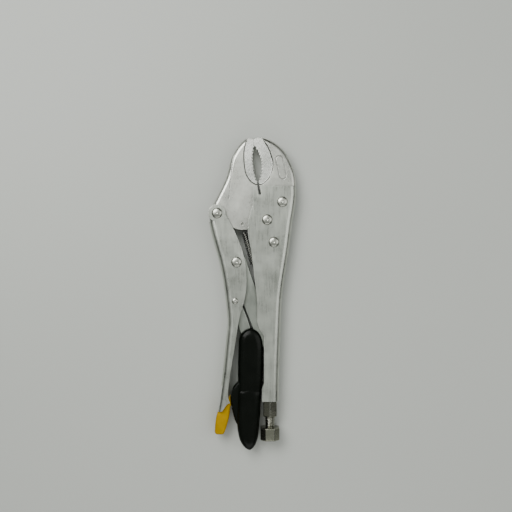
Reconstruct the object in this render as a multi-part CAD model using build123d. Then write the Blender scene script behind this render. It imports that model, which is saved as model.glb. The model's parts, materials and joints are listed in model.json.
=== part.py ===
"""Curved-jaw locking pliers: two stamped channel handles, two forged jaws, a toggle link,
a release lever with a two-colour grip and an adjusting screw.

Millimetres. The tool lies on its side: +Y runs to the jaw tips, +X to the fixed handle's back
and +Z up through the rivets. The pieces are drawn about the main jaw pivot, on the tool's
middle plane, and moved at the end so that the origin is the bottom centre of the whole tool.
"""
from build123d import *
import math
import os

# Overall reach either side of the main jaw pivot
JAW_REACH = 68.0             # pivot to jaw tips
HANDLE_REACH = 147.5         # pivot to the end of the fixed handle

# Jaws
JAW_THICKNESS = 10.0
JAW_ROUND = 3.6              # rounded outer edge of the forgings
JAW_SPLIT = 0.3              # gap between the jaws where they close
TOOTH_COUNT = 12
TOOTH_DEPTH = 1.3
POLISH_DEPTH = 1.2           # step down to the ground zone around the teeth
POLISH_SLOPE = 0.9           # how far the step's wall leans outwards, per height
BADGE_LENGTH = 20.0          # plain oval panel on the fixed jaw, bounded by a groove
BADGE_WIDTH = 6.6
BADGE_GROOVE = 0.9
BADGE_DEPTH = 0.7
CUTTER_WIDTH = 1.7           # wire cutter slot
CUTTER_SLIT = 2.6            # slot in the handle's walls over the cutter
FORGE_LINE_WIDTH = 0.7       # groove along the moving jaw's back
FORGE_LINE_DEPTH = 0.6
PIVOT_LOBE = 9.0             # radius of the lower jaw's round hub
LOBE_GAP = 0.35

# Stamped handles
SHEET = 2.0
SIDE_GAP = 0.15              # clearance between jaw and channel wall, each side
BEND = 5.0                   # outside bend radius of the channels
HANDLE_LOBE = 7.0            # lower handle's ear around its pivot
WEB_END = 0.915              # the lower handle's back stops here, for the lever's tail

# Rivets
RIVET_SHAFT = 3.2            # radius
RIVET_HEAD = 4.3
RIVET_CROWN = 1.7
SMALL_SHAFT = 1.7
SMALL_HEAD = 2.6
SMALL_CROWN = 1.2
RUNNING_FIT = 0.05           # radial, between a rivet and the piece that turns on it

# Toggle link and release lever
LINK_THICKNESS = 7.0
LINK_WIDTH = 15.0
LINK_HEEL = 4.8
LINK_HEAD = 8.0
LEVER_THICKNESS = 5.0
SLEEVE_THICKNESS = JAW_THICKNESS - 0.8
TONGUE_THICKNESS = 6.8       # the sleeve's part inside the grip
GRIP_THICKNESS = 15.0
GRIP_ROUND = 2.2
SLEEVE_CORNER = 2.5
GRIP_SLOT_GAP = 0.5          # around the link, in the grip's slot
LEVER_SPRING_SHEET = 0.5
LEVER_SPRING_WIDTH = 4.0

# Adjusting screw
SCREW_RADIUS = 3.95
THREAD_PITCH = 1.25
THREAD_DEPTH = 0.55
THREAD_FIT = 0.05            # radial, screw to bush
NOSE_ROUND = 1.5             # rounded rim of the screw's nose
NOSE_GAP = 4.3               # screw nose to link heel with the jaws shut
BUSH_ACROSS = 12.6           # corner to corner of the bush's hexagon
BUSH_CHAMFER = 0.8
BUSH_SEAM = 0.3              # hexagon stands clear of the handle's end by this
BUSH_LENGTH = 13.0
BUSH_TANG = 11.0             # length held inside the handle
TANG_FIT = 0.08              # between the tang and the handle's back
KNOB_HALF_WIDTH = 7.7
KNOB_CORNER = 4.2            # cut off each corner of the square, which then turns clear of the grip
KNOB_LENGTH = 10.5
THREAD_SHOWN = 8.5           # bare thread between bush and knob
KNOB_FLOOR = 2.0             # solid metal behind the screw's end
KNOB_CHAMFER = 1.2

# Tension spring
WIRE = 1.0
COIL_RADIUS = 2.8            # outside
COIL_COUNT = 16
COIL_LENGTH = 27.0
SPRING_PIN = 1.25            # radius
LEG = 5.6                    # straight wire between the jaw's eye and the coil

half_jaw = JAW_THICKNESS / 2
half_gap = half_jaw + SIDE_GAP
half_channel = half_gap + SHEET


def up(share):
    """A station on the jaws, as a share of their reach above the pivot."""
    return share * JAW_REACH


def down(share):
    """A station on the handles, as a share of their reach below the pivot."""
    return -share * HANDLE_REACH


# Pivots
MAIN_PIVOT = (0.0, 0.0)
HANDLE_PIVOT = (-40.7, up(0.079))
LINK_PIVOT = (-24.9, down(0.233))
LEVER_PIVOT = (-26.1, down(0.447))
LINK_HEEL_AT = (2.3, down(0.716))
FRONT_RIVET = (12.3, up(0.213))
REAR_RIVET = (5.4, down(0.123))
SPRING_PIN_AT = (-20.5, down(0.021))
SPRING_TAB_AT = (-3.6, down(0.42))
SCREW_AXIS = LINK_HEEL_AT[0]
HANDLE_END = down(1.0)
JAW_SHOULDER = up(0.405)       # the fixed jaw stands full width above the handle's edge
CUTTER_MOUTH = (-6.6, up(0.445))   # the wire cutter's slot, on the fixed jaw's side
CUTTER_FOOT = (-5.0, up(0.30))


# ---------------------------------------------------------------- helpers

def curve(*points):
    """A smooth edge through the points, or a straight one through two."""
    if len(points) == 2:
        return Line(*points)
    return Spline(*points)


def lines(*points):
    """Straight edges from point to point."""
    return [Line(a, b) for a, b in zip(points, points[1:])]


def plate(edges, half_thickness):
    """A flat piece of the given outline, centred on the middle plane."""
    flat = []
    for edge in edges:
        flat.extend(edge if isinstance(edge, list) else [edge])
    return extrude(Face(Wire(flat)), half_thickness, both=True)


def upright(radius, half_length, at):
    """A round bar along Z."""
    return Pos(at[0], at[1], 0) * Cylinder(radius, 2 * half_length)


def rims_along(solid, edge, half_thickness):
    """The two rims of a plate that follow one edge of its outline."""
    rims = []
    for level in (-half_thickness, half_thickness):
        copy = Pos(0, 0, level) * edge
        rims += [e for e in solid.edges() if (e.center() - copy.center()).length < 1e-3]
    return rims


def shifted(points, distance):
    """Points moved sideways along X."""
    return [(x + distance, y) for x, y in points]


def toothed(start, middle, end, count, depth, side):
    """A row of teeth along an arc, their tips on the side given by the sign."""
    arc = ThreePointArc(start, middle, end)
    points = [start]
    for step in range(1, 2 * count):
        share = step / (2 * count)
        on_arc = arc @ share
        tangent = arc % share
        reach = side * depth / 2 * (1 if step % 2 else -1)
        points.append((on_arc.X - tangent.Y * reach, on_arc.Y + tangent.X * reach))
    points.append(end)
    return lines(*points)


def rivet(shaft, head, crown, at):
    """A shaft with a domed head outside each channel wall."""
    profile = [
        Line((0, 0), (shaft, 0)),
        Line((shaft, 0), (shaft, half_channel)),
        Line((shaft, half_channel), (head, half_channel)),
        ThreePointArc((head, half_channel), (head * 0.72, half_channel + crown * 0.66),
                      (head * 0.28, half_channel + crown)),
        Line((head * 0.28, half_channel + crown), (0, half_channel + crown)),
        Line((0, half_channel + crown), (0, 0)),
    ]
    half = revolve(Plane.XZ * Face(Wire(profile)), Axis.Z)
    whole = half + mirror(half, Plane.XY)
    return Pos(at[0], at[1], 0) * whole


# ---------------------------------------------------------------- shared lines

BACK = [(23.6, up(0.40)), (23.3, up(0.234)), (20.9, 0), (18.2, down(0.14)), (15.2, down(0.275)),
        (12.3, down(0.42)), (10.9, down(0.62)), (9.9, down(0.82)), (9.6, down(1.0))]

LOWER_BACK = [(-47.7, down(0.0)), (-46.9, down(0.03)), (-43.2, down(0.13)), (-39.0, down(0.233)),
              (-35.7, down(0.345)), (-33.2, down(0.48)), (-32.3, down(0.57)), (-33.4, down(0.66)),
              (-35.2, down(0.78)), (-37.4, down(0.91)), (-40.7, down(1.056))]

BLANK_CORNER = (-43.0, down(1.13))

LOWER_FRONT = [(-33.8, up(0.06)), (-26.9, down(0.057)), (-22.0, down(0.135)), (-18.0, down(0.233)),
               (-17.0, down(0.30)), (-18.4, down(0.44)), (-21.4, down(0.51)), (-25.2, down(0.65)),
               (-28.9, down(0.80)), (-31.6, down(0.935)), (-31.4, down(0.985)),
               (-30.1, down(1.008))]


# ---------------------------------------------------------------- fixed side

def fixed_handle():
    """The channel that carries the fixed jaw, open along its front."""
    top = [(23.6, up(0.40)), (-11.7, up(0.405)), (-11.7, up(0.25))]
    front = [(-11.7, up(0.25)), (-12.6, up(0.13)), (-14.6, up(0.03)), (-15.9, down(0.05)),
             (-13.1, down(0.167)), (-10.7, down(0.30)), (-8.6, down(0.42)), (-8.3, down(0.56))]
    step = [(-8.3, down(0.56)), (-6.4, down(0.60)), (-2.6, down(0.64)), (-2.6, down(0.90)),
            (-4.2, down(0.93)), (-4.2, HANDLE_END)]
    outline = [lines(*top), curve(*front), lines(*step), curve((-4.2, HANDLE_END), BACK[-1]),
               curve(*reversed(BACK))]
    body = plate(outline, half_channel)
    body = fillet(rims_along(body, curve(*BACK), half_channel), BEND)
    body -= channel_room(0.0)
    for at in (MAIN_PIVOT, FRONT_RIVET, REAR_RIVET):
        body -= upright(RIVET_SHAFT, half_channel + 1, at)
    return body - cutter_slit() + spring_tab()


def cutter_slit():
    """The slot in both walls that leaves the wire cutter open."""
    foot, mouth = CUTTER_FOOT, CUTTER_MOUTH
    beyond = (2 * mouth[0] - foot[0], 2 * mouth[1] - foot[1])
    left, right = -CUTTER_WIDTH / 2 - CUTTER_SLIT / 2, -CUTTER_WIDTH / 2 + CUTTER_SLIT / 2
    corners = [(foot[0] + left, foot[1]), (foot[0] + right, foot[1]),
               (beyond[0] + right, beyond[1]), (beyond[0] + left, beyond[1])]
    return plate([lines(*corners, corners[0])], half_channel + 1)


def channel_room(clearance):
    """The space inside the fixed handle's channel, smaller by a clearance all round."""
    inner = shifted(BACK, -SHEET - clearance)
    beyond = [(inner[-1][0], HANDLE_END - 1), (-60, HANDLE_END - 1), (-60, up(0.45)),
              (inner[0][0], up(0.45)), inner[0]]
    half_thickness = half_gap - clearance
    room = plate([curve(*inner), lines(inner[-1], *beyond)], half_thickness)
    return fillet(rims_along(room, curve(*inner), half_thickness), BEND - SHEET)


def spring_tab():
    """The tab pressed in from one wall, which holds the spring's lower eye."""
    height = half_gap + WIRE * 1.5 + SHEET / 2
    middle = height / 2 - half_gap - SHEET / 2
    return Pos(SPRING_TAB_AT[0], SPRING_TAB_AT[1], middle) * Cylinder(SPRING_PIN, height)


def mouth_side_fixed():
    """The fixed jaw's closing edge, from the cutter to the tip."""
    tip = (-10.9 + JAW_SPLIT / 2, up(0.975))
    mouth_top = (-10.9 + JAW_SPLIT / 2, up(0.895))
    teeth_from = CUTTER_MOUTH
    teeth_to = (-8.7, up(0.865))
    teeth = toothed(teeth_from, (-4.1, up(0.63)), teeth_to, TOOTH_COUNT, TOOTH_DEPTH, 1)
    return [teeth, lines(teeth_to, mouth_top, tip)]


def fixed_jaw():
    """The forging riveted into the fixed handle, hollowed round the lower jaw's hub."""
    hollow = PIVOT_LOBE + LOBE_GAP
    hollow_from = (hollow * math.cos(math.radians(262)), hollow * math.sin(math.radians(262)))
    hollow_to = (hollow * math.cos(math.radians(112)), hollow * math.sin(math.radians(112)))
    tip = (-10.9 + JAW_SPLIT / 2, up(0.975))
    crown = [tip, (-6.0, up(0.995)), (2.3, up(0.96)), (8.7, up(0.90)), (14.4, up(0.818)),
             (18.6, up(0.71)), (21.8, up(0.591)), (23.3, up(0.48)), (23.6, up(0.38)),
             (23.3, up(0.234)), (20.9, 0), (18.7, down(0.11))]
    under = [crown[-1], (16.0, down(0.15)), (11.0, down(0.172)), (5.0, down(0.171)),
             (-0.5, down(0.142)), (-2.4, down(0.105)), hollow_from]
    outline = [curve(*crown), curve(*under),
               ThreePointArc(hollow_from, (hollow, 0), hollow_to),
               lines(hollow_to, (-4.6, up(0.22)), CUTTER_FOOT, CUTTER_MOUTH)]
    outline += mouth_side_fixed()
    blank = plate(outline, half_jaw)
    blank = fillet(rims_along(blank, curve(*crown), half_jaw), JAW_ROUND)
    below = Pos(0, JAW_SHOULDER - HANDLE_REACH, 0) * Box(100, 2 * HANDLE_REACH, 40)
    jaw = (blank - below) + (blank & below & channel_room(SIDE_GAP))
    for at in (FRONT_RIVET, REAR_RIVET):
        jaw -= upright(RIVET_SHAFT, half_jaw + 1, at)
    jaw -= polished_oval()
    return jaw - badge_groove()


def badge_groove():
    """The groove round the plain oval panel on the fixed jaw's front face."""
    panel = SlotOverall(BADGE_LENGTH - 2 * BADGE_GROOVE, BADGE_WIDTH - 2 * BADGE_GROOVE)
    ring = extrude(SlotOverall(BADGE_LENGTH, BADGE_WIDTH) - panel, 2 * BADGE_DEPTH)
    return Pos(11.2, up(0.626), half_jaw - BADGE_DEPTH) * Rot(0, 0, 102) * ring


def zone_face(spread, level):
    """The ground zone's outline at one height, grown outwards from its middle."""
    left = [(-15.4, up(1.05)), (-16.4, up(0.95)), (-17.6, up(0.885)), (-18.5, up(0.77)),
            (-18.1, up(0.665)), (-16.9, up(0.56)), (-13.9, up(0.48)), (-9.9, up(0.436))]
    right = [(-5.8, up(0.427)), (-1.8, up(0.46)), (1.3, up(0.51)), (3.8, up(0.605)),
             (4.3, up(0.68)), (2.8, up(0.77)), (-0.2, up(0.877)), (-3.4, up(0.96)),
             (-4.6, up(1.05))]
    middle = (-7.1, up(0.72))
    grown = []
    for x, y in left + right:
        reach = 1 + spread / math.hypot(x - middle[0], y - middle[1])
        grown.append((middle[0] + (x - middle[0]) * reach, middle[1] + (y - middle[1]) * reach))
    return Pos(0, 0, level) * Face(Wire([curve(*grown), Line(grown[-1], grown[0])]))


def polished_oval():
    """The ground zone round the teeth on both faces of both jaws, with a sloping rim."""
    rise = 2 * POLISH_DEPTH
    floor = half_jaw - POLISH_DEPTH
    front = loft([zone_face(0, floor), zone_face(rise * POLISH_SLOPE, floor + rise)], ruled=True)
    return front + mirror(front, Plane.XY)


def forge_line():
    """The groove that follows the moving jaw's back on both faces."""
    line = [(-22.6, up(0.93)), (-26.5, up(0.80)), (-29.2, up(0.60)), (-30.6, up(0.42)),
            (-31.6, up(0.24))]
    other = shifted(line, FORGE_LINE_WIDTH)
    strip = Face(Wire([curve(*line), Line(line[-1], other[-1]), curve(*reversed(other)),
                       Line(other[0], line[0])]))
    front = Pos(0, 0, half_jaw - FORGE_LINE_DEPTH) * extrude(strip, 2 * FORGE_LINE_DEPTH)
    return front + mirror(front, Plane.XY)


def fixed_jaw_rivets():
    """The two rivets that hold the fixed jaw."""
    pair = [rivet(RIVET_SHAFT, RIVET_HEAD, RIVET_CROWN, at) for at in (FRONT_RIVET, REAR_RIVET)]
    return Compound(pair)


def screw_bush():
    """The threaded bush in the handle's end: a square tang inside and a hexagon outside."""
    along = Pos(SCREW_AXIS, HANDLE_END, 0) * Rot(90, 0, 0)
    section = RegularPolygon(BUSH_ACROSS / 2, 6, rotation=30)
    hexagon = along * Pos(0, 0, BUSH_SEAM) * extrude(section, BUSH_LENGTH)
    hexagon = chamfer(hexagon.faces().sort_by(Axis.Y)[0].edges(), BUSH_CHAMFER)
    web_inside = BACK[-1][0] - SHEET
    width = 2 * (web_inside - SCREW_AXIS - TANG_FIT)
    tang = Pos(SCREW_AXIS, HANDLE_END + (BUSH_TANG - BUSH_SEAM) / 2, 0) * Box(
        width, BUSH_TANG + BUSH_SEAM, 2 * half_gap)
    tang = chamfer(tang.edges().filter_by(Axis.Y).group_by(Axis.X)[-1], BEND - SHEET)
    bore = Pos(SCREW_AXIS, HANDLE_END, 0) * Rot(90, 0, 0) * Cylinder(
        SCREW_RADIUS + THREAD_FIT, 4 * BUSH_LENGTH)
    return hexagon + tang - bore


# ---------------------------------------------------------------- lower side

def lower_jaw():
    """The moving jaw: hub round the main pivot, lobe at the lower handle's pivot."""
    tip = (-10.9 - JAW_SPLIT / 2, up(0.975))
    mouth_top = (-10.9 - JAW_SPLIT / 2, up(0.895))
    teeth_to = (CUTTER_MOUTH[0] - CUTTER_WIDTH, CUTTER_MOUTH[1])
    teeth = toothed(mouth_top, (-12.0, up(0.68)), teeth_to, TOOTH_COUNT, TOOTH_DEPTH, 1)
    cutter_end = (CUTTER_FOOT[0] - CUTTER_WIDTH, CUTTER_FOOT[1])
    lobe = HANDLE_LOBE - 0.4
    px, py = HANDLE_PIVOT
    back = [(-44.6, up(0.165)), (-42.0, up(0.245)), (-36.4, up(0.41)), (-33.2, up(0.52)),
            (-31.6, up(0.60)), (-30.2, up(0.70)), (-27.0, up(0.81)), (-21.6, up(0.92)),
            (-16.0, up(0.982)), tip]
    under = [(px + 2, py - lobe), (-33.0, down(0.022)), (-25.3, down(0.050)),
             (-15.0, down(0.053)), (-7.0, down(0.050)), (0.0, -PIVOT_LOBE + 0.4)]
    outline = [lines(tip, mouth_top), teeth,
               lines(teeth_to, cutter_end, (-5.4 - LOBE_GAP, up(0.20)),
                     (-5.0 - LOBE_GAP, up(0.12)), (-3.0, up(0.10)),
                     (0.0, PIVOT_LOBE / 2), (0.0, under[-1][1])),
               curve(*reversed(under)),
               lines(under[0], (px, py), back[0]),
               curve(*back)]
    jaw = plate(outline, half_jaw)
    jaw = fillet(rims_along(jaw, curve(*back), half_jaw), JAW_ROUND)
    jaw += upright(lobe, half_jaw, HANDLE_PIVOT)
    jaw += upright(PIVOT_LOBE, half_jaw, MAIN_PIVOT)
    jaw -= upright(RIVET_SHAFT + RUNNING_FIT, half_jaw + 1, MAIN_PIVOT)
    jaw -= upright(RIVET_SHAFT + RUNNING_FIT, half_jaw + 1, HANDLE_PIVOT)
    jaw -= upright(SPRING_PIN, half_jaw + 1, SPRING_PIN_AT)
    jaw -= Pos(SPRING_PIN_AT[0] + 1, SPRING_PIN_AT[1] - 2, 0) * Box(9, 11, 2 * WIRE)
    return jaw - polished_oval() - forge_line()


def spring_pin():
    """The pin pressed through the moving jaw, across the slot for the spring's eye."""
    return upright(SPRING_PIN, half_jaw, SPRING_PIN_AT)


def lower_handle():
    """The moving channel: ears round the pivot, open towards the fixed handle."""
    px, py = HANDLE_PIVOT
    top = py + 2 * HANDLE_LOBE
    back = [(px - HANDLE_LOBE, top)] + LOWER_BACK + [BLANK_CORNER]
    front_corner = (LOWER_FRONT[-1][0], BLANK_CORNER[1])
    outline = [curve(*back), curve(BLANK_CORNER, front_corner),
               curve(front_corner, LOWER_FRONT[-1]), curve(*reversed(LOWER_FRONT)),
               lines(LOWER_FRONT[0], (LOWER_FRONT[0][0], top), back[0])]
    body = plate(outline, half_channel)
    body = fillet(rims_along(body, curve(*back), half_channel), BEND)
    body -= Pos(px, py + 50, 0) * Box(100, 100, 50)
    body += upright(HANDLE_LOBE, half_channel, HANDLE_PIVOT)
    cut = [LOWER_FRONT[-1], (-33.4, down(1.022)), (-36.6, down(1.052)), LOWER_BACK[-1]]
    waste = [LOWER_BACK[-1], (-60, down(1.07)), (-60, down(1.3)), (0, down(1.3)),
             (0, LOWER_FRONT[-1][1]), LOWER_FRONT[-1]]
    body -= plate([curve(*cut), lines(*waste)], half_channel + 1)
    inner = shifted(back, SHEET)
    low = BLANK_CORNER[1] - 1
    room = plate([curve(*inner), lines(inner[-1], (inner[-1][0], low), (0, low), (0, top),
                                       inner[0])], half_gap)
    room = fillet(rims_along(room, curve(*inner), half_gap), BEND - SHEET)
    body -= room
    ear_room = Pos(px - 2 * HANDLE_LOBE, (py + down(0.047) + top) / 2, 0) * Box(
        4 * HANDLE_LOBE, top - py - down(0.047), 2 * half_gap)
    body -= ear_room
    tail_room = Pos(-40, down(WEB_END) - HANDLE_REACH / 2, 0) * Box(
        40, HANDLE_REACH, 2 * half_gap)
    body -= tail_room
    for at in (HANDLE_PIVOT, LINK_PIVOT):
        body -= upright(RIVET_SHAFT, half_channel + 1, at)
    return body - upright(SMALL_SHAFT, half_channel + 1, LEVER_PIVOT)


def toggle_link():
    """The bar from the lower handle to the screw's nose, round at both ends."""
    sx, sy = LINK_PIVOT
    ex, ey = LINK_HEEL_AT
    length = math.hypot(ex - sx, ey - sy)
    angle = math.degrees(math.atan2(ey - sy, ex - sx))
    half = LINK_WIDTH / 2
    heel_start = length - LINK_HEEL
    side = [(0, LINK_HEAD), (length * 0.16, half), (length * 0.62, half * 0.95),
            (length * 0.86, half * 0.8), (heel_start, LINK_HEEL)]
    mirrored = [(x, -y) for x, y in side]
    outline = [curve(*side),
               ThreePointArc(side[-1], (length, 0), mirrored[-1]),
               curve(*reversed(mirrored)),
               ThreePointArc(mirrored[0], (-LINK_HEAD, 0), side[0])]
    link = plate(outline, LINK_THICKNESS / 2)
    link = Pos(sx, sy, 0) * Rot(0, 0, angle) * link
    return link - upright(RIVET_SHAFT + RUNNING_FIT, LINK_THICKNESS, LINK_PIVOT)


def lever_outline():
    """The steel release lever: nose beside the link, front along it, tail inside the grip."""
    front = [(-27.9, down(0.355)), (-26.0, down(0.40)), (-22.6, down(0.445)), (-18.3, down(0.507)),
             (-14.8, down(0.57)), (-13.2, down(0.62)), (-14.0, down(0.70)), (-16.0, down(0.80)),
             (-18.5, down(0.90)), (-24.0, down(0.985))]
    back = [(-29.0, down(0.985)), (-23.0, down(0.90)), (-21.0, down(0.80)), (-20.2, down(0.70)),
            (-22.0, down(0.62)), (-25.6, down(0.56)), (-28.8, down(0.50)), (-30.4, down(0.44)),
            (-31.0, down(0.39)), (-30.4, down(0.355))]
    return [curve(*front), lines(front[-1], back[0]), curve(*back),
            ThreePointArc(back[-1], (-29.1, down(0.347)), front[0])]


def release_lever():
    """The stamped lever that pushes the link off its dead point."""
    lever = plate(lever_outline(), LEVER_THICKNESS / 2)
    return lever - upright(SMALL_SHAFT + RUNNING_FIT, LEVER_THICKNESS, LEVER_PIVOT)


def sleeve_outline():
    """The sleeve seen from above: a tongue inside the grip and a flared tip below the handle."""
    front = [(-17.0, down(0.90)), (-18.6, down(0.95)), (-24.4, down(0.995)), (-29.4, down(1.025)),
             (-30.5, down(1.065)), (-32.4, down(1.13)), (-35.6, down(1.188))]
    back = [(-43.0, down(1.188)), (-42.4, down(1.13)), (-40.2, down(1.062)),
            (-33.9, down(1.0)), (-27.6, down(0.952)), (-24.2, down(0.90))]
    return [curve(*front), lines(front[-1], back[0]), curve(*back), lines(back[-1], front[0])]


def sleeve_body():
    """The sleeve's outer shape: full thickness outside the grip, thin inside it."""
    tip = plate(sleeve_outline(), SLEEVE_THICKNESS / 2)
    corners = [e for e in tip.edges().filter_by(Axis.Z) if e.center().Y < down(1.1)]
    tip = fillet(corners, SLEEVE_CORNER)
    tip -= plate(lobe_outline(), GRIP_THICKNESS)
    tip -= plate(grip_outline(), GRIP_THICKNESS)
    tongue = plate(sleeve_outline(), TONGUE_THICKNESS / 2)
    inside = plate(lobe_outline(), GRIP_THICKNESS) + plate(grip_outline(), GRIP_THICKNESS)
    return tip + (tongue & inside)


def lever_sleeve():
    """The hard yellow sleeve pressed over the end of the lever's tail."""
    return sleeve_body() - plate(lever_outline(), LEVER_THICKNESS / 2)


def grip_outline():
    """The grip's thick part: round top, straight sides, finger bulge, narrow end."""
    return [Spline((-23.9, down(0.90)), (-23.9, down(0.80)), (-23.3, down(0.70)),
                   (-21.4, down(0.630)), (-14.5, down(0.598)), (-7.0, down(0.618)),
                   (-3.5, down(0.67)), (-3.0, down(0.78)), (-3.6, down(0.89)),
                   (-4.9, down(0.98)), (-5.7, down(1.08)), (-7.0, down(1.17)),
                   (-9.0, down(1.235)), (-14.2, down(1.272)), (-20.0, down(1.245)),
                   (-23.4, down(1.19)), (-24.6, down(1.11)), (-24.0, down(1.0)),
                   periodic=True)]


def lobe_outline():
    """The grip's thin finger stop, which goes between the lower handle's walls."""
    return [curve((-20.0, down(0.875)), (-25.2, down(0.905)), (-29.0, down(0.945)),
                  (-30.0, down(0.985)), (-29.2, down(1.03)), (-27.6, down(1.08)),
                  (-25.2, down(1.125)), (-20.0, down(1.16))),
            lines((-20.0, down(1.16)), (-20.0, down(0.875)))]


def link_slot():
    """The room the grip leaves for the link, open on the fixed handle's side."""
    run_x = LINK_HEEL_AT[0] - LINK_PIVOT[0]
    run_y = LINK_HEEL_AT[1] - LINK_PIVOT[1]
    length = math.hypot(run_x, run_y) + LINK_HEEL
    beside = LINK_WIDTH / 2 + GRIP_SLOT_GAP
    slot = Pos(length / 2, HANDLE_REACH / 2 - beside, 0) * Box(
        length, HANDLE_REACH, LINK_THICKNESS + 2 * GRIP_SLOT_GAP)
    return Pos(*LINK_PIVOT, 0) * Rot(0, 0, math.degrees(math.atan2(run_y, run_x))) * slot


def lever_grip():
    """The soft black grip moulded on the sleeve, slotted for the link."""
    grip = plate(grip_outline(), GRIP_THICKNESS / 2)
    grip = fillet(grip.edges().group_by(Axis.Z)[-1] + grip.edges().group_by(Axis.Z)[0],
                  GRIP_ROUND)
    grip += plate(lobe_outline(), SLEEVE_THICKNESS / 2)
    grip -= link_slot()
    return grip - sleeve_body() - plate(lever_outline(), LEVER_THICKNESS / 2)


def lever_spring():
    """The leaf that holds the lever off the handle's back."""
    path = [(-28.9, down(0.497)), (-29.3, down(0.53)), (-29.55, down(0.565)),
            (-29.4, down(0.60)), (-28.8, down(0.64))]
    outer = [(x - LEVER_SPRING_SHEET, y) for x, y in path]
    return plate([curve(*path), lines(path[-1], outer[-1]), curve(*reversed(outer)),
                  lines(outer[0], path[0])], LEVER_SPRING_WIDTH / 2)


# ---------------------------------------------------------------- spring and screw

def coil_frame():
    """The spring's line: where it starts, its direction and the two ends of its coil."""
    ax, ay = SPRING_PIN_AT
    bx, by = SPRING_TAB_AT
    length = math.hypot(bx - ax, by - ay)
    return (bx - ax) / length, (by - ay) / length, length


def tension_spring():
    """The jaw-opening spring: an eye at each end, a coil near the jaw and a straight leg."""
    ux, uy, length = coil_frame()
    eye = SPRING_PIN + 0.12 + WIRE / 2
    coil_start = eye + LEG
    pitch = COIL_LENGTH / COIL_COUNT
    inner = COIL_RADIUS - WIRE
    profile = [Line((inner, 0), (inner + WIRE / 2, 0))]
    for turn in range(COIL_COUNT):
        low = turn * pitch
        profile.append(ThreePointArc((inner + WIRE / 2, low), (COIL_RADIUS, low + pitch / 2),
                                     (inner + WIRE / 2, low + pitch)))
    profile.append(Line((inner + WIRE / 2, COIL_LENGTH), (inner, COIL_LENGTH)))
    profile.append(Line((inner, COIL_LENGTH), (inner, 0)))
    coil = revolve(Plane.XZ * Face(Wire(profile)), Axis.Z)
    caps = Cylinder(COIL_RADIUS - WIRE / 2, WIRE)
    line = Plane(origin=(SPRING_PIN_AT[0], SPRING_PIN_AT[1], 0), z_dir=(ux, uy, 0))
    spring = Pos(0, 0, coil_start) * coil + Pos(0, 0, coil_start) * caps
    spring += Pos(0, 0, coil_start + COIL_LENGTH) * caps
    first_leg = coil_start - eye
    last_leg = length - coil_start - COIL_LENGTH - eye
    spring += Pos(0, 0, eye + first_leg / 2) * Cylinder(WIRE / 2, first_leg)
    spring += Pos(0, 0, length - eye - last_leg / 2) * Cylinder(WIRE / 2, last_leg)
    spring = line * spring
    spring += Pos(SPRING_PIN_AT[0], SPRING_PIN_AT[1], 0) * Torus(eye, WIRE / 2)
    return spring + Pos(SPRING_TAB_AT[0], SPRING_TAB_AT[1], 0) * Torus(eye, WIRE / 2)


def knob_start():
    """Where the knob's face begins below the bush."""
    return HANDLE_END - BUSH_SEAM - BUSH_LENGTH - THREAD_SHOWN


def adjusting_screw():
    """The screw: round nose, grooved thread and a plain end inside the knob."""
    nose = LINK_HEEL_AT[1] - NOSE_GAP
    shank_end = knob_start() - KNOB_LENGTH + KNOB_FLOOR + RUNNING_FIT
    length = nose - shank_end
    core = SCREW_RADIUS - THREAD_DEPTH
    thread_start = KNOB_LENGTH - KNOB_FLOOR
    profile = lines((0, 0), (core, 0), (core, thread_start))
    turns = int((length - thread_start - 6.0) / THREAD_PITCH)
    for turn in range(turns):
        low = thread_start + turn * THREAD_PITCH
        profile += lines((core, low), (SCREW_RADIUS, low + THREAD_PITCH * 0.38),
                         (SCREW_RADIUS, low + THREAD_PITCH * 0.62), (core, low + THREAD_PITCH))
    top = thread_start + turns * THREAD_PITCH
    profile += lines((core, top), (core, length - NOSE_ROUND))
    profile.append(ThreePointArc((core, length - NOSE_ROUND),
                                 (core - NOSE_ROUND * 0.29, length - NOSE_ROUND * 0.29),
                                 (core - NOSE_ROUND, length)))
    profile += lines((core - NOSE_ROUND, length), (0, length), (0, 0))
    shape = revolve(Plane.XZ * Face(Wire(profile)), Axis.Z)
    return Plane(origin=(SCREW_AXIS, shank_end, 0), z_dir=(0, 1, 0)) * shape


def screw_knob():
    """The knob fixed on the screw's end: a square bar with its corners cut off."""
    face = Plane(origin=(SCREW_AXIS, knob_start(), 0), x_dir=(1, 0, 0), z_dir=(0, -1, 0))
    square = Rectangle(2 * KNOB_HALF_WIDTH, 2 * KNOB_HALF_WIDTH)
    knob = extrude(chamfer(square.vertices(), KNOB_CORNER), KNOB_LENGTH)
    ends = knob.edges().group_by(Axis.Z)
    knob = chamfer(ends[0] + ends[-1], KNOB_CHAMFER)
    bore = Cylinder(SCREW_RADIUS - THREAD_DEPTH + RUNNING_FIT, 2 * (KNOB_LENGTH - KNOB_FLOOR))
    return face * (knob - bore)


PARTS = {
    "fixed_handle": fixed_handle,
    "fixed_jaw": fixed_jaw,
    "fixed_jaw_rivets": fixed_jaw_rivets,
    "jaw_pivot_rivet": lambda: rivet(RIVET_SHAFT, RIVET_HEAD, RIVET_CROWN, MAIN_PIVOT),
    "handle_pivot_rivet": lambda: rivet(RIVET_SHAFT, RIVET_HEAD, RIVET_CROWN, HANDLE_PIVOT),
    "link_pivot_rivet": lambda: rivet(RIVET_SHAFT, RIVET_HEAD, RIVET_CROWN, LINK_PIVOT),
    "lever_rivet": lambda: rivet(SMALL_SHAFT, SMALL_HEAD, SMALL_CROWN, LEVER_PIVOT),
    "screw_bush": screw_bush,
    "lower_jaw": lower_jaw,
    "spring_pin": spring_pin,
    "lower_handle": lower_handle,
    "toggle_link": toggle_link,
    "release_lever": release_lever,
    "lever_sleeve": lever_sleeve,
    "lever_grip": lever_grip,
    "lever_spring": lever_spring,
    "tension_spring": tension_spring,
    "adjusting_screw": adjusting_screw,
    "screw_knob": screw_knob,
}


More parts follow.
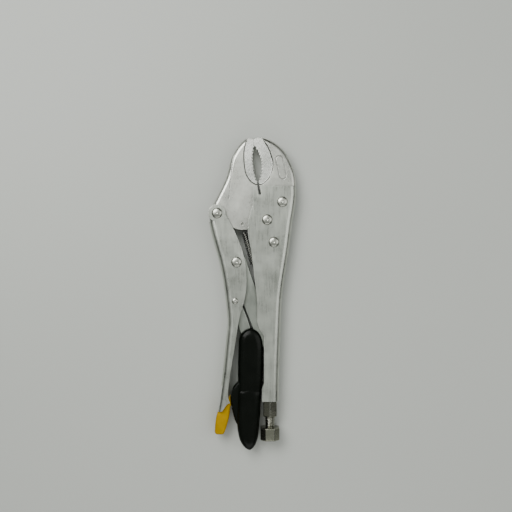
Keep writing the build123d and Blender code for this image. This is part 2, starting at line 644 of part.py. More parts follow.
def main():
    """Builds every piece, moves the origin to the bottom centre and writes the files."""
    os.makedirs("parts", exist_ok=True)
    shapes = {name: make() for name, make in PARTS.items()}
    box = Compound(list(shapes.values())).bounding_box()
    centre = box.center()
    place = Pos(-centre.X, -centre.Y, -box.min.Z)
    for name, shape in shapes.items():
        export_step(place * shape, f"parts/{name}.step")
    print("origin shift", -centre.X, -centre.Y, -box.min.Z, "size", box.size)


main()
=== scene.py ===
"""Curved-jaw locking pliers, seen from straight above on a pale table."""

import json
import math

import bmesh
import bpy
import numpy as np
from mathutils import Matrix, Vector
from mathutils.geometry import delaunay_2d_cdt

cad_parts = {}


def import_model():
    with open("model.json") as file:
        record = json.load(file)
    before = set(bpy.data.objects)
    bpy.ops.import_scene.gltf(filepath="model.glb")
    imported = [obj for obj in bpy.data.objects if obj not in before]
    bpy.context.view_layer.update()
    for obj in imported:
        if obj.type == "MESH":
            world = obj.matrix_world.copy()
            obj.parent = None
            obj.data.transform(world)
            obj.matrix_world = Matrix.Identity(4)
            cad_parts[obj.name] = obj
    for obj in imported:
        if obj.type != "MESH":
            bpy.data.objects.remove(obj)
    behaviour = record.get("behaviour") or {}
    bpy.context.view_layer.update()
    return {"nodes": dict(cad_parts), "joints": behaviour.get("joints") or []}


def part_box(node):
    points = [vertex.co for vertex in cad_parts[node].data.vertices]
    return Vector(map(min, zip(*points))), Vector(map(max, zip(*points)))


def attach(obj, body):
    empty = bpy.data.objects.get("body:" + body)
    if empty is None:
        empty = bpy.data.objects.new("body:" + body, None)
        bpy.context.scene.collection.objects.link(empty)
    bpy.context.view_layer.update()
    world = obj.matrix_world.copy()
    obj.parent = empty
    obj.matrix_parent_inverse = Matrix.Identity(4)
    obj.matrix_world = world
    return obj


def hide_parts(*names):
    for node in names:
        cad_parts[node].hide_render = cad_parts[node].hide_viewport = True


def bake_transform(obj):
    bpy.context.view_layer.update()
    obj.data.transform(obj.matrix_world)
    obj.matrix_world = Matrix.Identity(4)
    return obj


MM = 0.001
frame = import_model()
JOINTS = {j["name"]: j for j in frame["joints"]}
PIVOT = Vector(JOINTS["jaw_hinge"]["pos_m"])
NODES = frame["nodes"]

# Sizes in millimetres
GRIP_EDGE = 5.2              # rounding of the grip's thick part
GRIP_STEP = 0.5              # the finger bulge stands this proud of the upper grip
SLEEVE_EDGE = 3.0
WIRE = 0.5                   # radius of the spring's wire
COIL = 2.3                   # to the middle of the wire
COIL_TURNS = 16
COIL_LENGTH = 27.0
LEG = 5.6
PIN_AT = (-20.5, -3.1)
TAB_AT = (-3.6, -61.95)
TURN_STEPS = 20
SPRING_PIN = 1.25            # radius
EYE_GAP = 0.12
RIVET_SHAFT = 3.2            # radius
RIVET_HEAD = 4.3
RIVET_CROWN = 1.7
SMALL_SHAFT = 1.7
SMALL_HEAD = 2.6
SMALL_CROWN = 1.2
LINK_HEEL_AT = (2.3, -105.6)
LINK_HEEL = 4.8              # radius of the link's round end
SLOT_REACH = 140.0           # the link's slot in the grip, out past the fixed handle's side
SLOT_HEIGHT = 8.0
KNOB_HALF_WIDTH = 7.7
KNOB_FLAT = 7.0              # width of each wide face of the knob
THREAD_PITCH = 1.25
THREAD_DEPTH = 0.55
HALF_JAW = 5.0
GROUND_FACE = 3.8            # half thickness of the jaws where they are ground round the teeth


def at(x, y, z=0.0):
    """A point given in millimetres from the main jaw pivot."""
    return PIVOT + Vector((x, y, z)) * MM


# ---------------------------------------------------------------- shapes

def make_object(name, verts, faces, smooth_angle=35.0):
    mesh = bpy.data.meshes.new(name)
    mesh.from_pydata([tuple(v) for v in verts], [], faces)
    mesh.validate()
    mesh.update()
    mesh.polygons.foreach_set("use_smooth", [True] * len(mesh.polygons))
    mesh.set_sharp_from_angle(angle=math.radians(smooth_angle))
    obj = bpy.data.objects.new(name, mesh)
    bpy.context.scene.collection.objects.link(obj)
    return obj


def section(node, height):
    """The longest closed outline of a level cut through a CAD node, in metres."""
    bm = bmesh.new()
    bm.from_mesh(NODES[node].data)
    bmesh.ops.remove_doubles(bm, verts=bm.verts, dist=1e-6)
    cut = bmesh.ops.bisect_plane(bm, geom=bm.verts[:] + bm.edges[:] + bm.faces[:],
                                 plane_co=(0, 0, height), plane_no=(0, 0, 1))
    edges = [e for e in cut["geom_cut"] if isinstance(e, bmesh.types.BMEdge)]
    links = {}
    for e in edges:
        a, b = e.verts
        links.setdefault(a, []).append(b)
        links.setdefault(b, []).append(a)
    loops, seen = [], set()
    for start in links:
        if start in seen:
            continue
        loop, here, before = [], start, None
        while here is not None and here not in seen:
            seen.add(here)
            loop.append((here.co.x, here.co.y))
            onward = [v for v in links[here] if v is not before and v not in seen]
            before, here = here, onward[0] if onward else None
        loops.append(np.array(loop))
    bm.free()
    return max(loops, key=lambda p: abs(area(p)))


def area(loop):
    x, y = loop[:, 0], loop[:, 1]
    return 0.5 * np.sum(x * np.roll(y, -1) - np.roll(x, -1) * y)


def even(loop, step):
    """The same closed outline with points at an even spacing, running anticlockwise."""
    if area(loop) < 0:
        loop = loop[::-1]
    ring = np.vstack([loop, loop[:1]])
    run = np.concatenate([[0], np.cumsum(np.linalg.norm(np.diff(ring, axis=0), axis=1))])
    count = max(8, int(round(run[-1] / step)))
    spots = np.linspace(0, run[-1], count, endpoint=False)
    return np.column_stack([np.interp(spots, run, ring[:, k]) for k in (0, 1)])


def inward(loop, distance):
    """The outline moved inwards."""
    ahead, behind = np.roll(loop, -1, axis=0), np.roll(loop, 1, axis=0)
    along = ahead - behind
    along /= np.maximum(np.linalg.norm(along, axis=1), 1e-12)[:, None]
    normal = np.column_stack([-along[:, 1], along[:, 0]])
    for _ in range(3):
        normal = 0.5 * normal + 0.25 * (np.roll(normal, 1, axis=0) + np.roll(normal, -1, axis=0))
    normal /= np.maximum(np.linalg.norm(normal, axis=1), 1e-12)[:, None]
    return loop + normal * distance


def slab(name, loop, low, high, edge, rise=None, rings=7):
    """A plate of the outline from low to high with rounded rims, all in metres."""
    rise = edge if rise is None else rise
    turn = [math.pi / 2 * k / rings for k in range(rings + 1)]
    levels = [(edge * (1 - math.cos(a)), high - rise + rise * math.sin(a)) for a in turn]
    levels = [(inset, low + high - z) for inset, z in reversed(levels)] + levels
    count = len(loop)
    verts, faces = [], []
    for inset, z in levels:
        verts += [(x, y, z) for x, y in inward(loop, inset)]
    for k in range(len(levels) - 1):
        for i in range(count):
            j = (i + 1) % count
            faces.append((k * count + i, k * count + j, (k + 1) * count + j, (k + 1) * count + i))
    faces.append(tuple(reversed(range(count))))
    faces.append(tuple(range((len(levels) - 1) * count, len(levels) * count)))
    return make_object(name, verts, faces)


def pillow(name, loop, low, high, edge, rise, grid=0.0008):
    """A plate of the outline whose faces swell away from the rim, all in metres."""
    shares = (0.01, 0.04, 0.09, 0.16, 0.25, 0.36)
    rings = [loop] + [inward(loop, edge * share) for share in shares]
    lowest, highest = loop.min(0), loop.max(0)
    xs, ys = np.meshgrid(np.arange(lowest[0], highest[0], grid),
                         np.arange(lowest[1], highest[1], grid))
    spots = np.column_stack([xs.ravel(), ys.ravel()])
    spots[:, 0] += (np.round((spots[:, 1] - lowest[1]) / grid) % 2) * grid / 2
    spots = spots[depth_in(loop, spots) > edge * 0.40]
    points = np.vstack(rings + [spots])
    count = len(loop)
    border = [(i, (i + 1) % count) for i in range(count)]
    made = delaunay_2d_cdt([Vector(p) for p in points], border, [], 1, 1e-9)
    flat = np.array([tuple(p) for p in made[0]])
    triangles = [tuple(f) for f in made[2]]
    origin = {old: new for new, olds in enumerate(made[3]) for old in olds}
    depth = np.clip(depth_in(loop, flat), 0, edge) / edge
    depth[[origin[i] for i in range(count)]] = 0.0
    swell = np.sqrt(1 - (1 - depth) ** 2)
    swell = relaxed(swell, triangles, depth > 0.4)
    top = [(x, y, high - rise + rise * s) for (x, y), s in zip(flat, swell)]
    base = [(x, y, low + high - z) for x, y, z in top]
    total = len(top)
    faces = triangles + [tuple(i + total for i in reversed(f)) for f in triangles]
    for i, j in border:
        a, b = origin[i], origin[j]
        faces.append((b, a, a + total, b + total))
    return make_object(name, top + base, faces, 60.0)


def depth_in(loop, points):
    """How far each point lies inside the outline; below nothing outside it."""
    a, b = loop, np.roll(loop, -1, axis=0)
    run = b - a
    best = np.full(len(points), 1e9)
    crossings = np.zeros(len(points), int)
    for p, q, d in zip(a, b, run):
        share = np.clip(((points - p) @ d) / max(d @ d, 1e-18), 0, 1)
        best = np.minimum(best, np.linalg.norm(points - p - share[:, None] * d, axis=1))
        spans = (p[1] > points[:, 1]) != (q[1] > points[:, 1])
        reach = p[0] + (points[:, 1] - p[1]) * d[0] / (d[1] if abs(d[1]) > 1e-15 else 1e-15)
        crossings += spans & (points[:, 0] < reach)
    return np.where(crossings % 2 == 1, best, -best)


def relaxed(values, triangles, free, rounds=12):
    """Smooths the values over the mesh where they are free to move."""
    ends = np.array([(f[i], f[i - 1]) for f in triangles for i in range(3)])
    ends = np.vstack([ends, ends[:, ::-1]])
    share = np.bincount(ends[:, 0], minlength=len(values))
    for _ in range(rounds):
        around = np.bincount(ends[:, 0], values[ends[:, 1]], minlength=len(values))
        values = np.where(free, 0.4 * values + 0.6 * around / np.maximum(share, 1), values)
    return values


def lathe(name, profile, origin, direction, segments=64):
    """A turned piece: (radius, height) pairs in millimetres round an axis through the origin."""
    turn = Vector(direction).to_track_quat("Z", "Y")
    verts, faces = [], []
    for radius, height in profile:
        for s in range(segments):
            a = 2 * math.pi * s / segments
            spot = Vector((radius * math.cos(a), radius * math.sin(a), height)) * MM
            verts.append(Vector(origin) + turn @ spot)
    for k in range(len(profile) - 1):
        for s in range(segments):
            t = (s + 1) % segments
            faces.append((k * segments + s, k * segments + t,
                          (k + 1) * segments + t, (k + 1) * segments + s))
    faces.append(tuple(reversed(range(segments))))
    faces.append(tuple(range((len(profile) - 1) * segments, len(profile) * segments)))
    return make_object(name, verts, faces, 30.0)


def tube(name, path, radius, sides=10):
    """A round wire along a line of points, all in metres."""
    path = [Vector(p) for p in path]
    verts, faces = [], []
    across = Vector((0, 0, 1))
    for i, p in enumerate(path):
        along = (path[min(i + 1, len(path) - 1)] - path[max(i - 1, 0)]).normalized()
        across = (across - along * across.dot(along)).normalized()
        side = along.cross(across)
        for s in range(sides):
            a = 2 * math.pi * s / sides
            verts.append(p + (across * math.cos(a) + side * math.sin(a)) * radius)
    for i in range(len(path) - 1):
        for s in range(sides):
            t = (s + 1) % sides
            faces.append((i * sides + s, i * sides + t, (i + 1) * sides + t, (i + 1) * sides + s))
    faces.append(tuple(reversed(range(sides))))
    faces.append(tuple(range((len(path) - 1) * sides, len(path) * sides)))
    return make_object(name, verts, faces, 60.0)


def cut_away(obj, cutter):
    """Removes the cutter's volume from obj and deletes the cutter."""
    mod = obj.modifiers.new("cut", "BOOLEAN")
    mod.operation = "DIFFERENCE"
    mod.solver = "EXACT"
    mod.object = cutter
    with bpy.context.temp_override(object=obj, active_object=obj):
        bpy.ops.object.modifier_apply(modifier=mod.name)
    bpy.data.objects.remove(cutter)


def box_object(name, centre, size, turn):
    verts = [(x * size[0] / 2, y * size[1] / 2, z * size[2] / 2)
             for x in (-1, 1) for y in (-1, 1) for z in (-1, 1)]
    faces = [(0, 1, 3, 2), (4, 6, 7, 5), (0, 4, 5, 1), (2, 3, 7, 6), (0, 2, 6, 4), (1, 5, 7, 3)]
    rot = Matrix.Rotation(turn, 4, "Z")
    verts = [Vector(centre) + rot @ Vector(v) for v in verts]
    return make_object(name, verts, faces)


# ---------------------------------------------------------------- materials

class Nodes:
    """A short way to write a material's node tree."""

    def __init__(self, name):
        self.material = bpy.data.materials.new(name)
        self.material.use_nodes = True
        self.tree = self.material.node_tree
        self.tree.nodes.clear()
        self.out = self.add("ShaderNodeOutputMaterial")
        self.shader = self.add("ShaderNodeBsdfPrincipled")
        self.link(self.shader.outputs[0], self.out.inputs["Surface"])
        self.coords = self.add("ShaderNodeTexCoord").outputs["Object"]

    def add(self, kind, **settings):
        node = self.tree.nodes.new(kind)
        for key, value in settings.items():
            setattr(node, key, value)
        return node

    def link(self, a, b):
        self.tree.links.new(a, b)

    def stretched(self, scale):
        mapping = self.add("ShaderNodeMapping")
        mapping.inputs["Scale"].default_value = scale
        self.link(self.coords, mapping.inputs["Vector"])
        return mapping.outputs["Vector"]

    def noise(self, scale, detail=4.0, rough=0.6, stretch=(1, 1, 1)):
        node = self.add("ShaderNodeTexNoise")
        node.inputs["Scale"].default_value = scale
        node.inputs["Detail"].default_value = detail
        node.inputs["Roughness"].default_value = rough
        self.link(self.stretched(stretch), node.inputs["Vector"])
        return node.outputs["Fac"]

    def ranged(self, value, low, high, out_low, out_high):
        node = self.add("ShaderNodeMapRange")
        for key, number in zip(("From Min", "From Max", "To Min", "To Max"),
                               (low, high, out_low, out_high)):
            node.inputs[key].default_value = number
        self.link(value, node.inputs["Value"])
        return node.outputs["Result"]

    def math(self, operation, a, b):
        node = self.add("ShaderNodeMath", operation=operation)
        for socket, value in zip(node.inputs, (a, b)):
            if isinstance(value, (int, float)):
                socket.default_value = value
            else:
                self.link(value, socket)
        return node.outputs[0]

    def mix(self, share, a, b):
        node = self.add("ShaderNodeMix", data_type="RGBA")
        for socket, value in ((node.inputs[0], share), (node.inputs[6], a), (node.inputs[7], b)):
            if isinstance(value, (tuple, float, int)):
                socket.default_value = value
            else:
                self.link(value, socket)
        return node.outputs[2]

    def edges(self, width, gain):
        """High on outer edges: where a rounded normal differs from the true one."""
        bevel = self.add("ShaderNodeBevel", samples=6)
        bevel.inputs["Radius"].default_value = width
        true = self.add("ShaderNodeNewGeometry").outputs["Normal"]
        dot = self.add("ShaderNodeVectorMath", operation="DOT_PRODUCT")
        self.link(bevel.outputs[0], dot.inputs[0])
        self.link(true, dot.inputs[1])
        return self.ranged(dot.outputs["Value"], 1.0, 1.0 - 1.0 / gain, 0.0, 1.0)

    def relief(self, layers, edge_width=None):
        """Stacks bumps: (height output, distance in metres, strength)."""
        normal = None
        if edge_width:
            bevel = self.add("ShaderNodeBevel", samples=6)
            bevel.inputs["Radius"].default_value = edge_width
            normal = bevel.outputs[0]
        for height, distance, strength in layers:
            bump = self.add("ShaderNodeBump")
            bump.inputs["Distance"].default_value = distance
            bump.inputs["Strength"].default_value = strength
            self.link(height, bump.inputs["Height"])
            if normal is not None:
                self.link(normal, bump.inputs["Normal"])
            normal = bump.outputs[0]
        self.link(normal, self.shader.inputs["Normal"])


def steel(name, colour, rough, grain=(1, 0.03, 1), rub=0.5, edge=0.00035, shade=0.82):
    """Plated steel: faint grain along the tool, cloudy wear, rubbed edges, painted shade in
    crevices.
    """
    n = Nodes(name)
    n.shader.inputs["Metallic"].default_value = 1.0
    cloud = n.noise(55.0, 5.0, 0.65)
    streak = n.noise(2600.0, 3.0, 0.55, grain)
    spots = n.noise(420.0, 6.0, 0.7)
    dark = tuple(c * shade for c in colour) + (1.0,)
    light = tuple(min(1.0, c * 1.05) for c in colour) + (1.0,)
    base = n.mix(n.ranged(cloud, 0.35, 0.68, 0.0, 1.0), dark, light)
    stain = n.ranged(spots, 0.62, 0.78, 0.0, 0.35)
    base = n.mix(stain, base, tuple(c * 0.62 for c in colour) + (1.0,))
    worn = n.math("MULTIPLY", n.edges(edge * 1.6, 6.0), rub)
    base = n.mix(worn, base, (0.86, 0.86, 0.83, 1.0))
    # Painted shade: the colour turns near black where ambient occlusion finds crevices and gaps
    # between parts.
    occlusion = n.add("ShaderNodeAmbientOcclusion", samples=6)
    occlusion.inputs["Distance"].default_value = 0.004
    painted_crevice_shade = n.ranged(occlusion.outputs["AO"], 0.25, 0.85, 0.55, 0.0)
    base = n.mix(painted_crevice_shade, base, (0.10, 0.10, 0.09, 1.0))
    n.link(base, n.shader.inputs["Base Color"])
    roughness = n.ranged(streak, 0.3, 0.7, rough - 0.07, rough + 0.07)
    roughness = n.math("ADD", roughness, n.ranged(cloud, 0.3, 0.7, -0.05, 0.06))
    n.link(roughness, n.shader.inputs["Roughness"])
    n.relief([(streak, 0.00002, 0.35), (cloud, 0.0004, 0.08), (spots, 0.00004, 0.2)], edge)
    return n


def jaw_steel():
    """Satin forging, ground bright where its faces step down round the teeth, with painted shade on
    the wall of the step.
    """
    n = steel("jaw_steel", (0.66, 0.665, 0.62), 0.33, (1, 0.2, 1), 0.75)
    split = n.add("ShaderNodeSeparateXYZ")
    n.link(n.coords, split.inputs[0])
    height = n.math("ABSOLUTE", n.math("SUBTRACT", split.outputs["Z"], PIVOT.z), 0.0)
    low = n.ranged(height, GROUND_FACE * MM + 0.00012, GROUND_FACE * MM + 0.00004, 0.0, 1.0)
    centre = at(-7.7, 46.9)
    place = n.add("ShaderNodeMapping", vector_type="TEXTURE")
    place.inputs["Location"].default_value = (centre.x, centre.y, 0.0)
    place.inputs["Scale"].default_value = (0.0135, 0.026, 1.0)
    n.link(n.coords, place.inputs["Vector"])
    flat = n.add("ShaderNodeVectorMath", operation="MULTIPLY")
    flat.inputs[1].default_value = (1, 1, 0)
    n.link(place.outputs[0], flat.inputs[0])
    length = n.add("ShaderNodeVectorMath", operation="LENGTH")
    n.link(flat.outputs[0], length.inputs[0])
    near = n.ranged(length.outputs["Value"], 1.0, 0.97, 0.0, 1.0)
    inside = n.math("MULTIPLY", low, near)
    # Painted shade: the step's wall round the ground faces is coloured near black.
    below = n.ranged(height, HALF_JAW * MM - 0.00010, HALF_JAW * MM - 0.00025, 0.0, 1.0)
    step_wall_shade = n.math("MULTIPLY", n.math("SUBTRACT", below, low), near)
    old = n.shader.inputs["Base Color"].links[0].from_socket
    ground = n.mix(n.math("MULTIPLY", inside, 0.85), old, (0.93, 0.935, 0.90, 1.0))
    n.link(n.mix(n.math("MULTIPLY", step_wall_shade, 0.75), ground, (0.10, 0.10, 0.085, 1.0)),
           n.shader.inputs["Base Color"])
    rough = n.shader.inputs["Roughness"].links[0].from_socket
    n.link(n.math("SUBTRACT", rough, n.math("MULTIPLY", inside, 0.06)),
           n.shader.inputs["Roughness"])
    return n.material


def plastic(name, colour, rough, pore, specular):
    """Moulded plastic or rubber: slight cloud, fine pores, handling marks."""
    n = Nodes(name)
    cloud = n.noise(70.0, 4.0, 0.6)
    pores = n.noise(1500.0, 3.0, 0.6)
    marks = n.noise(260.0, 6.0, 0.75, (1, 0.35, 1))
    dark = tuple(c * 0.8 for c in colour) + (1.0,)
    light = tuple(min(1.0, c * 1.15) for c in colour) + (1.0,)
    base = n.mix(n.ranged(cloud, 0.3, 0.7, 0.0, 1.0), dark, light)
    rubbed = n.math("MULTIPLY", n.edges(0.0008, 5.0), 0.25)
    base = n.mix(rubbed, base, tuple(min(1.0, c * 1.4 + 0.003) for c in colour) + (1.0,))
    n.link(base, n.shader.inputs["Base Color"])
    roughness = n.math("ADD", n.ranged(marks, 0.35, 0.7, rough - 0.06, rough + 0.1),
                       n.ranged(cloud, 0.3, 0.7, -0.03, 0.03))
    n.link(roughness, n.shader.inputs["Roughness"])
    n.shader.inputs["Specular IOR Level"].default_value = specular
    n.relief([(pores, 0.00003, pore), (marks, 0.00005, 0.15)], 0.0004)
    return n.material


HANDLE_STEEL = steel("handle_steel", (0.58, 0.60, 0.55), 0.32, rub=0.7).material
JAW_STEEL = jaw_steel()
RIVET_STEEL = steel("rivet_steel", (0.50, 0.505, 0.46), 0.26, (1, 1, 1), 0.8, 0.0002).material
LINK_STEEL = steel("link_steel", (0.40, 0.425, 0.385), 0.38, (1, 0.06, 1), 0.4).material
SCREW_STEEL = steel("screw_steel", (0.30, 0.30, 0.245), 0.22, (0.05, 1, 0.05), 0.9, 0.0003).material
SPRING_STEEL = steel("spring_steel", (0.26, 0.26, 0.24), 0.30, (1, 1, 1), 0.3, 0.0001).material
YELLOW = plastic("yellow_plastic", (0.42, 0.245, 0.0008), 0.36, 0.15, 0.05)
BLACK = plastic("black_rubber", (0.0022, 0.0032, 0.0020), 0.24, 0.2, 0.13)


def dress(obj, material):
    obj.data.materials.clear()
    obj.data.materials.append(material)


def piece(obj, material, slot, body, *nodes):
    dress(obj, material)
    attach(obj, body)
    if nodes:
        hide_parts(*nodes)
    return obj


# ---------------------------------------------------------------- steel that stays as built

for node in ("fixed_handle", "lower_handle"):
    dress(NODES[node], HANDLE_STEEL)
for node in ("fixed_jaw", "lower_jaw"):
    dress(NODES[node], JAW_STEEL)
dress(NODES["spring_pin"], RIVET_STEEL)
dress(NODES["lever_spring"], SPRING_STEEL)


# ---------------------------------------------------------------- rivets

def rivet_profile(node, shaft, head):
    """Half profile of a domed, peened rivet, mirrored top to bottom."""
    low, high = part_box(node)
    tall = (high.z - PIVOT.z) / MM
    seat = tall - (RIVET_CROWN if head == RIVET_HEAD else SMALL_CROWN)
    rise = tall - seat
    upper = [(shaft, seat - 0.4), (head * 0.985, seat), (head, seat + rise * 0.12)]
    for k in range(1, 8):
        a = math.radians(8 + 70 * k / 7)
        upper.append((head * math.cos(a) ** 0.8, seat + rise * math.sin(a) ** 0.9))
    upper += [(head * 0.20, tall), (head * 0.16, tall - rise * 0.06), (0.01, tall - rise * 0.10)]
    return [(r, -h) for r, h in reversed(upper)] + upper


def rivet(name, spot, node, shaft, head, body):
    obj = lathe(name, rivet_profile(node, shaft, head), at(*spot), (0, 0, 1))
    return piece(obj, RIVET_STEEL, "rivet_steel", body, node)


rivet("jaw_rivet_front", (12.3, 14.48), "fixed_jaw_rivets", RIVET_SHAFT, RIVET_HEAD, "fixed_handle")
rivet("jaw_rivet_rear", (5.4, -18.14), "fixed_jaw_rivets", RIVET_SHAFT, RIVET_HEAD, "fixed_handle")
rivet("jaw_pivot", (0, 0), "jaw_pivot_rivet", RIVET_SHAFT, RIVET_HEAD, "fixed_handle")
rivet("handle_pivot", (-40.7, 5.37), "handle_pivot_rivet", RIVET_SHAFT, RIVET_HEAD, "lower_handle")
rivet("link_pivot", (-24.9, -34.37), "link_pivot_rivet", RIVET_SHAFT, RIVET_HEAD, "lower_handle")
rivet("lever_pivot", (-26.1, -65.93), "lever_rivet", SMALL_SHAFT, SMALL_HEAD, "lower_handle")


# ---------------------------------------------------------------- link and lever

def flat_piece(node, edge, name, material, slot, body):
    """A flat stamping rebuilt with rounded rims from its own outline."""
    low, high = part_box(node)
    loop = even(section(node, PIVOT.z), 0.0005)
    obj = slab(name, loop, low.z, high.z, edge * MM, rings=4)
    return piece(obj, material, slot, body, node)


flat_piece("toggle_link", 0.7, "link_bar", LINK_STEEL, "link_steel", "toggle_link")
flat_piece("release_lever", 0.6, "lever_plate", LINK_STEEL, "link_steel", "release_lever")


# ---------------------------------------------------------------- grip and sleeve

def below(loop, arc):
    """The part of an anticlockwise outline under an arc, closed along the arc."""
    arc = np.array(arc)
    limit = np.interp(loop[:, 0], arc[:, 0], arc[:, 1])
    keep = loop[:, 1] < limit
    first = next(i for i in range(len(loop)) if keep[i] and not keep[i - 1])
    ring = np.roll(loop, -first, axis=0)
    kept = ring[: int(keep.sum())]
    span = arc[(arc[:, 0] > kept[:, 0].min()) & (arc[:, 0] < kept[:, 0].max())]
    gap_to_start = np.linalg.norm(span[0] - kept[-1])
    gap_to_end = np.linalg.norm(span[-1] - kept[-1])
    inner = span if gap_to_start < gap_to_end else span[::-1]
    return np.vstack([kept, inner])


def bow(left, top, right, count=40):
    """Points on the arc through three points."""
    (x0, y0), (x1, y1), (x2, y2) = left, top, right
    xs = np.linspace(x0, x2, count)
    fit = np.polyfit([x0, x1, x2], [y0, y1, y2], 2)
    return [tuple(at(x, np.polyval(fit, x)))[:2] for x in xs]


def grip():
    low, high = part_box("lever_grip")
    outline = even(section("lever_grip", PIVOT.z + 5.0 * MM), 0.0005)
    step = GRIP_STEP * MM
    upper = pillow("grip_body", inward(outline, step * 0.4), low.z + step, high.z - step,
                   GRIP_EDGE * MM, (GRIP_EDGE - 0.6) * MM)
    arc = bow((-26.0, -142.0), (-11.5, -135.3), (-1.5, -143.5))
    lower = even(below(outline, arc), 0.0005)
    bulge = pillow("grip_bulge", lower, low.z, high.z, GRIP_EDGE * MM, (GRIP_EDGE - 0.4) * MM)
    stop_loop = even(section("lever_grip", PIVOT.z + 4.0 * MM), 0.0005)
    stop = pillow("grip_stop", even(left_of(stop_loop, -20.0), 0.0005), PIVOT.z - 4.6 * MM,
                  PIVOT.z + 4.6 * MM, 3.0 * MM, 2.6 * MM)
    pivot = Vector(JOINTS["link_hinge"]["pos_m"])
    run = at(*LINK_HEEL_AT) - pivot
    length = run.length + LINK_HEEL * MM
    direction = run.normalized()
    across = Vector((-direction.y, direction.x, 0))
    centre = pivot + direction * length / 2 + across * (SLOT_REACH / 2 - SLOT_HEIGHT) * MM
    slot = box_object("slot", centre, (length, SLOT_REACH * MM, SLOT_HEIGHT * MM),
                      math.atan2(run.y, run.x))
    cut_away(upper, slot)
    for obj in (upper, bulge, stop):
        piece(obj, BLACK, "black_rubber", "release_lever", "lever_grip")


def left_of(loop, x):
    """The part of an outline left of a line x millimetres from the pivot."""
    limit = PIVOT.x + x * MM
    keep = loop[:, 0] < limit
    first = next(i for i in range(len(loop)) if keep[i] and not keep[i - 1])
    ring = np.roll(loop, -first, axis=0)
    return ring[: int(keep.sum())]


grip()

sleeve_loop = even(section("lever_sleeve", PIVOT.z + 4.0 * MM), 0.0005)
sleeve_low, sleeve_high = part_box("lever_sleeve")
sleeve = pillow("sleeve_tip", sleeve_loop, sleeve_low.z, sleeve_high.z,
                SLEEVE_EDGE * MM, 2.4 * MM, 0.0006)
piece(sleeve, YELLOW, "yellow_plastic", "release_lever", "lever_sleeve")


# ---------------------------------------------------------------- screw, bush and knob

def threaded_screw():
    """The adjusting screw with a real helical thread and a rounded nose."""
    low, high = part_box("adjusting_screw")
    axis = Vector(((low.x + high.x) / 2, 0, PIVOT.z))
    radius = (high.x - low.x) / 2 / MM
    length = (high.y - low.y) / MM
    core = radius - THREAD_DEPTH
    start, end = 8.5, length - 6.0
    steps = int(length / (THREAD_PITCH / 8))
    around = 48
    verts, faces = [], []
    for k in range(steps + 1):
        height = length * k / steps
        fade = min(1.0, max(0.0, (height - start) / 1.5), max(0.0, (end - height) / 1.5))
        tip = length - height
        for s in range(around):
            phase = (height / THREAD_PITCH - s / around) % 1.0
            crest = min(1.0, max(0.0, 1.9 - 5.0 * abs(phase - 0.5)))
            r = core + THREAD_DEPTH * crest * fade
            if tip < 1.5:
                r = core - 1.5 + math.sqrt(max(0.0, 1.5 ** 2 - (1.5 - tip) ** 2))
            a = 2 * math.pi * s / around
            verts.append((axis.x + r * MM * math.cos(a), low.y + height * MM,
                          axis.z + r * MM * math.sin(a)))
    for k in range(steps):
        for s in range(around):
            t = (s + 1) % around
            faces.append((k * around + t, k * around + s,
                          (k + 1) * around + s, (k + 1) * around + t))
    faces.append(tuple(range(around)))
    faces.append(tuple(reversed(range(steps * around, (steps + 1) * around))))
    return make_object("screw_thread", verts, faces, 50.0)


def bar(name, node, outline, edge):
    """A bar along Y of a given section (x, z in mm), with rounded ends."""
    low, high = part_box(node)
    centre = (low + high) / 2
    loop = even(np.array(outline) * MM, 0.0003)
    obj = slab(name, loop, low.y, high.y, edge * MM, rings=4)
    for v in obj.data.vertices:
        x, y, z = v.co
        v.co = (centre.x + x, z, PIVOT.z - y)
    obj.data.update()
    return obj


piece(threaded_screw(), SCREW_STEEL, "screw_steel", "adjusting_screw", "adjusting_screw")
dress(NODES["screw_bush"], SCREW_STEEL)
h, c = KNOB_HALF_WIDTH, KNOB_FLAT / 2
knob = bar("knob_body", "screw_knob",
           [(h, -c), (h, c), (c, h), (-c, h), (-h, c), (-h, -c), (-c, -h), (c, -h)], 0.8)
piece(knob, SCREW_STEEL, "screw_steel", "screw_knob", "screw_knob")


# ---------------------------------------------------------------- tension spring

def spring_path():
    """Eye round the pin, leg, coil, leg, eye round the tab."""
    a, b = at(*PIN_AT), at(*TAB_AT)
    along = (b - a).normalized()
    side = Vector((-along.y, along.x, 0))
    up = Vector((0, 0, 1))
    total = (b - a).length / MM
    eye = SPRING_PIN + EYE_GAP + WIRE
    path = []
    for k in range(25):
        t = math.radians(300 - 300 * k / 24)
        path.append(a + (along * math.cos(t) + side * math.sin(t)) * eye * MM)
    start = eye + LEG
    for k in range(6):
        path.append(a + along * (eye + (LEG - 1.2) * (k + 1) / 7) * MM)
    steps = COIL_TURNS * TURN_STEPS
    for k in range(steps + 1):
        t = 2 * math.pi * k / TURN_STEPS
        grow = min(1.0, k / 10, (steps - k) / 10)
        spot = a + along * (start + COIL_LENGTH * k / steps) * MM
        path.append(spot + (side * math.cos(t) + up * math.sin(t)) * COIL * grow * MM)
    coil_end = start + COIL_LENGTH
    for k in range(7):
        path.append(a + along * (coil_end + (total - eye - coil_end) * (k + 1) / 8) * MM)
    for k in range(25):
        t = math.radians(180 - 300 * k / 24)
        path.append(b + (along * math.cos(t) + side * math.sin(t)) * eye * MM)
    return path


spring = tube("spring_wire", spring_path(), WIRE * MM)
dress(spring, SPRING_STEEL)
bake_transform(spring)
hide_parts("tension_spring")


# ---------------------------------------------------------------- table, light and camera

def floor():
    n = Nodes("table")
    fine = n.noise(900.0, 3.0, 0.5)
    cloud = n.noise(3.0, 3.0, 0.5)
    base = n.mix(cloud, (0.50, 0.515, 0.49, 1.0), (0.55, 0.565, 0.54, 1.0))
    n.link(base, n.shader.inputs["Base Color"])
    n.link(n.ranged(fine, 0.3, 0.7, 0.5, 0.6), n.shader.inputs["Roughness"])
    n.relief([(fine, 0.00002, 0.1)])
    bpy.ops.mesh.primitive_plane_add(size=6.0, location=(0, 0, 0))
    table = bpy.context.object
    table.name = "table_top"
    table.data.materials.append(n.material)


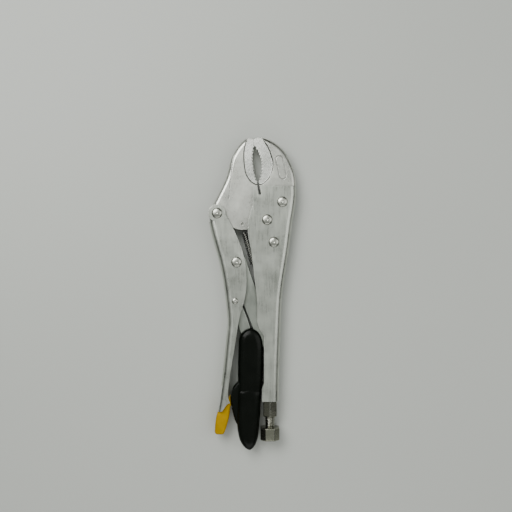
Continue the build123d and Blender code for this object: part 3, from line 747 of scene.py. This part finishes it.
def lamp(name, spot, target, size, power, colour=(1, 1, 1)):
    light = bpy.data.lights.new(name, "AREA")
    light.shape = "RECTANGLE"
    light.size, light.size_y = size
    light.energy = power
    light.color = colour
    obj = bpy.data.objects.new(name, light)
    obj.location = spot
    obj.rotation_euler = (Vector(target) - Vector(spot)).to_track_quat("-Z", "Y").to_euler()
    bpy.context.scene.collection.objects.link(obj)


def world():
    scene_world = bpy.data.worlds.new("studio")
    bpy.context.scene.world = scene_world
    scene_world.use_nodes = True
    tree = scene_world.node_tree
    back = tree.nodes["Background"]
    coords = tree.nodes.new("ShaderNodeTexCoord")
    split = tree.nodes.new("ShaderNodeSeparateXYZ")
    ramp = tree.nodes.new("ShaderNodeValToRGB")
    tree.links.new(coords.outputs["Generated"], split.inputs[0])
    tree.links.new(split.outputs["Z"], ramp.inputs[0])
    ramp.color_ramp.elements[0].color = (0.02, 0.021, 0.018, 1)
    ramp.color_ramp.elements[0].position = 0.28
    ramp.color_ramp.elements[1].color = (0.60, 0.625, 0.59, 1)
    ramp.color_ramp.elements[1].position = 0.9
    tree.links.new(ramp.outputs[0], back.inputs["Color"])
    back.inputs["Strength"].default_value = 0.72


def camera():
    """Straight above, the tool a little right of and above the middle of the frame."""
    lens, sensor, across = 50.0, 36.0, 0.4147
    cam = bpy.data.cameras.new("camera")
    cam.lens = lens
    cam.sensor_width = sensor
    obj = bpy.data.objects.new("camera", cam)
    obj.location = at(-9.07, -29.48) + Vector((0, 0, across * lens / sensor + 7.2 * MM))
    bpy.context.scene.collection.objects.link(obj)
    bpy.context.scene.camera = obj


floor()
SOFT_WHITE = (0.99, 1.0, 0.965)
lamp("key", (-0.35, 0.45, 0.75), (0, 0.02, 0), (0.7, 0.5), 8.0, SOFT_WHITE)
lamp("fill", (0.55, 0.1, 0.6), (0, 0.02, 0), (0.5, 0.7), 1.6, SOFT_WHITE)
lamp("front", (0.05, -0.6, 0.5), (0, 0.0, 0), (0.8, 0.3), 1.4, SOFT_WHITE)
world()
camera()
